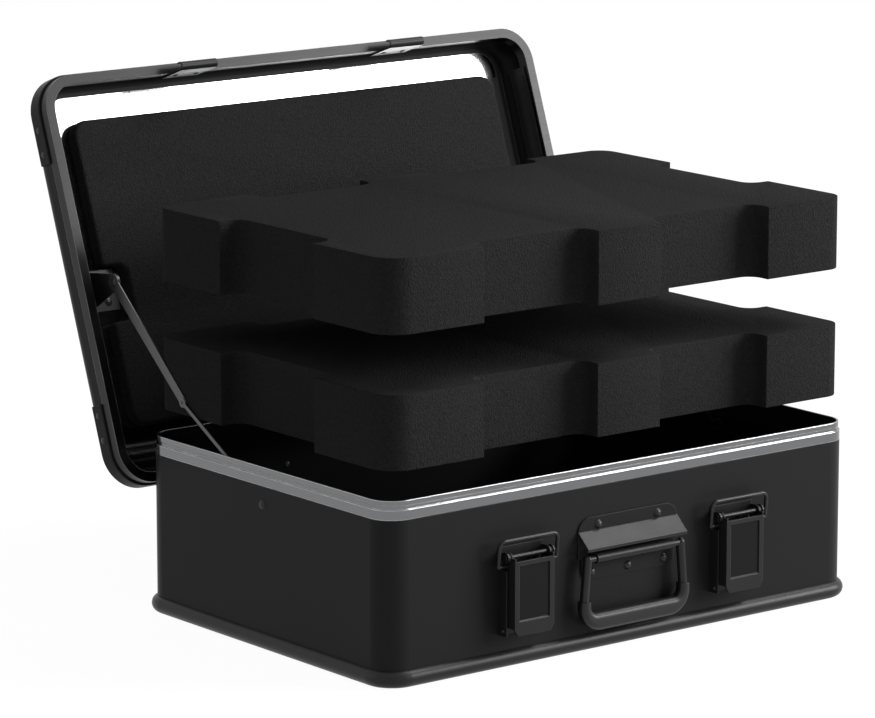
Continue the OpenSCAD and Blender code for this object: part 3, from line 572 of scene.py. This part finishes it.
foamLooks = {
    "foamBlack": {
        "dark": (0.011, 0.011, 0.0113),
        "light": (0.034, 0.034, 0.035),
        "cells": 680.0,
        "bump": 0.7,
        "depth": 0.0011,
        "specular": 0.02,
        "gloss": (0.75, 0.95),
    },
}

finishes = {}
for makeMaterial, looks in (
    (coatedMaterial, coatedLooks),
    (brushedMaterial, brushedLooks),
    (foamMaterial, foamLooks),
):
    for name, look in looks.items():
        finishes[name] = makeMaterial(name, look)

nodeFinishes = {
    "caseBlack": ["base_shell", "lid_shell", "corner_plates", "handle_plate"],
    "coverBlack": ["handle_cover", "side_strips"],
    "beadBlack": ["base_bead"],
    "latchBlack": [
        "latch_lever_left", "latch_lever_right", "latch_plates", "latch_keepers",
        "handle_bearings", "base_hinge_leaves", "lid_hinge_leaves",
    ],
    "labelBlack": ["label_plate_left", "label_plate_right"],
    "wireBlack": [
        "latch_bail_left", "latch_bail_right", "handle_bar", "latch_pins",
        "latch_washers",
    ],
    "rivetBlack": [
        "handle_rivets", "stay_wall_rivets", "stay_washers", "corner_rivets",
        "side_strip_rivets", "keeper_rivets", "bracket_rivets", "bracket_pivots",
        "base_hinge_rivets", "lid_hinge_rivets", "latch_plate_rivets", "hinge_pins",
        "elbow_rivet_left", "elbow_rivet_right",
    ],
    "sealGrey": ["lid_seal"],
    "brightRim": ["base_rim"],
    "linerBright": ["lid_liner"],
    "lidRimGrey": ["lid_rim"],
    "staySteel": [
        "stay_lower_left", "stay_lower_right", "stay_upper_left", "stay_upper_right",
        "stay_brackets",
    ],
    "foamBlack": ["foam_upper", "foam_lower"],
}


def dress(obj, finish):
    obj.data.materials.clear()
    obj.data.materials.append(finishes[finish])


for finish, names in nodeFinishes.items():
    for name in names:
        dress(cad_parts[name], finish)
print("finishes on", sum(len(names) for names in nodeFinishes.values()), "pieces")


# foam layers, cut with rounded hand notches

foam = {
    "nearCorner": 0.029,
    "corner": 0.020,
    "cornerSegments": 14,
    "notchDeep": 0.024,
    "notchCorner": 0.014,
    "notchSegments": 12,
    "sideNotch": 0.144,
    "nearNotch": (-0.166, -0.0325),
    "farNotch": (0.0435, 0.176),
    "overcut": 0.01,  # how far a notch's cutter passes the layer's faces
    "softEdge": 0.0007,
    "segments": 3,
    "sharp": 40,
    "smooth": 35,
}
uprightRise = 0.001  # an edge that rises more than this is upright


def clearSelection():
    if bpy.context.mode != "OBJECT":
        bpy.ops.object.mode_set(mode="OBJECT")
    bpy.ops.object.select_all(action="DESELECT")


def selectEdges(obj, wanted):
    # wanted is given the two end points of each edge
    bpy.ops.object.mode_set(mode="OBJECT")
    mesh = obj.data
    for part in (mesh.vertices, mesh.edges, mesh.polygons):
        for item in part:
            item.select = False
    for edge in mesh.edges:
        ends = [mesh.vertices[i].co for i in edge.vertices]
        edge.select = wanted(*ends)
    bpy.ops.object.mode_set(mode="EDIT")
    bpy.ops.mesh.select_mode(type="EDGE")


def block(name, low, high):
    # a box between two corners, with its place in its mesh
    clearSelection()
    bpy.ops.mesh.primitive_cube_add(size=1)
    obj = bpy.context.object
    obj.name = name
    middle = [(a + b) / 2 for a, b in zip(low, high)]
    size = [b - a for a, b in zip(low, high)]
    bpy.ops.object.mode_set(mode="EDIT")
    bpy.ops.transform.resize(value=size)
    bpy.ops.transform.translate(value=middle)
    bpy.ops.object.mode_set(mode="OBJECT")
    return obj


def roundUprights(obj, radii, segments):
    # radii is a list of (test on x and y, radius)
    for test, radius in radii:
        selectEdges(obj, lambda a, b: abs(a.z - b.z) > uprightRise and test((a + b) / 2))
        bpy.ops.mesh.bevel(offset=radius, segments=segments, affect="EDGES")
        bpy.ops.object.mode_set(mode="OBJECT")


def applyAll(obj):
    clearSelection()
    obj.select_set(True)
    bpy.context.view_layer.objects.active = obj
    for modifier in list(obj.modifiers):
        bpy.ops.object.modifier_apply(modifier=modifier.name)


def cutWith(obj, cutter):
    modifier = obj.modifiers.new("cut", "BOOLEAN")
    modifier.operation = "DIFFERENCE"
    modifier.solver = "EXACT"
    modifier.object = cutter
    applyAll(obj)
    bpy.data.objects.remove(cutter)


def softenEdges(obj, look):
    # a small round on every edge sharper than the look's angle
    soft = obj.modifiers.new("soft", "BEVEL")
    soft.width = look["softEdge"]
    soft.segments = look["segments"]
    soft.limit_method = "ANGLE"
    soft.angle_limit = math.radians(look["sharp"])
    applyAll(obj)
    bpy.ops.object.shade_smooth_by_angle(angle=math.radians(look["smooth"]))


def isNearCorner(point):
    return point.x < 0 and point.y < 0


def foamLayer(name, node, body):
    low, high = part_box(node)
    layer = block(name, low, high)
    corners = [
        (isNearCorner, foam["nearCorner"]),
        (lambda point: not isNearCorner(point), foam["corner"]),
    ]
    roundUprights(layer, corners, foam["cornerSegments"])
    deep = foam["notchDeep"]
    over = foam["overcut"]
    spans = []
    for side in (low.x, high.x):
        spans.append((side - deep, side + deep, -foam["sideNotch"] / 2, foam["sideNotch"] / 2))
    for edge in (low.y, high.y):
        for start, end in (foam["nearNotch"], foam["farNotch"]):
            spans.append((start, end, edge - deep, edge + deep))
    for x0, x1, y0, y1 in spans:
        cutter = block("notch", (x0, y0, low.z - over), (x1, y1, high.z + over))
        roundUprights(cutter, [(lambda point: True, foam["notchCorner"])], foam["notchSegments"])
        cutWith(layer, cutter)
    softenEdges(layer, foam)
    dress(layer, "foamBlack")
    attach(layer, body)
    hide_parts(node)


foamLayer("upperFoamLayer", "foam_upper", "upper_layer")
foamLayer("lowerFoamLayer", "foam_lower", "lower_layer")
print("foam layers cut")


# copies of solids that get rounded edges

joining = {"mergeWithin": 0.00001, "flatWithin": 0.5}  # metres, degrees


def copyOf(node, name):
    # a separate copy of a solid, its triangles joined into whole faces
    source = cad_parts[node]
    piece = bpy.data.objects.new(name, source.data.copy())
    piece.matrix_world = source.matrix_world.copy()
    scene.collection.objects.link(piece)
    clearSelection()
    piece.select_set(True)
    bpy.context.view_layer.objects.active = piece
    bpy.ops.object.transform_apply(location=True, rotation=True, scale=True)
    bpy.ops.object.mode_set(mode="EDIT")
    bpy.ops.mesh.select_all(action="SELECT")
    bpy.ops.mesh.remove_doubles(threshold=joining["mergeWithin"])
    bpy.ops.mesh.dissolve_limited(angle_limit=math.radians(joining["flatWithin"]))
    bpy.ops.object.mode_set(mode="OBJECT")
    return piece


# lid pad

lidPad = {"softEdge": 0.004, "segments": 5, "sharp": 40, "smooth": 35}


def padPiece():
    pad = copyOf("lid_pad", "lidFoamPad")
    softenEdges(pad, lidPad)
    dress(pad, "foamBlack")
    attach(pad, "lid")
    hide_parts("lid_pad")


padPiece()
print("lid pad rounded")


# handle grip, moulded round the bar

grip = {"rounding": 0.0054, "segments": 8, "smooth": 30, "faceWithin": 0.0001}


def gripPiece():
    piece = copyOf("handle_grip", "mouldedGrip")
    low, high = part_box("handle_grip")
    near = grip["faceWithin"]

    def onFace(a, b):
        # edges of the two broad faces, apart from their straight ends at the top
        if a.z > high.z - near and b.z > high.z - near:
            return False
        return any(abs(a.y - y) < near and abs(b.y - y) < near for y in (low.y, high.y))

    selectEdges(piece, onFace)
    bpy.ops.mesh.bevel(offset=grip["rounding"], segments=grip["segments"], affect="EDGES")
    bpy.ops.object.mode_set(mode="OBJECT")
    clearSelection()
    piece.select_set(True)
    bpy.ops.object.shade_smooth_by_angle(angle=math.radians(grip["smooth"]))
    dress(piece, "gripBlack")
    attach(piece, "handle")
    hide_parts("handle_grip")


gripPiece()
print("grip rounded")
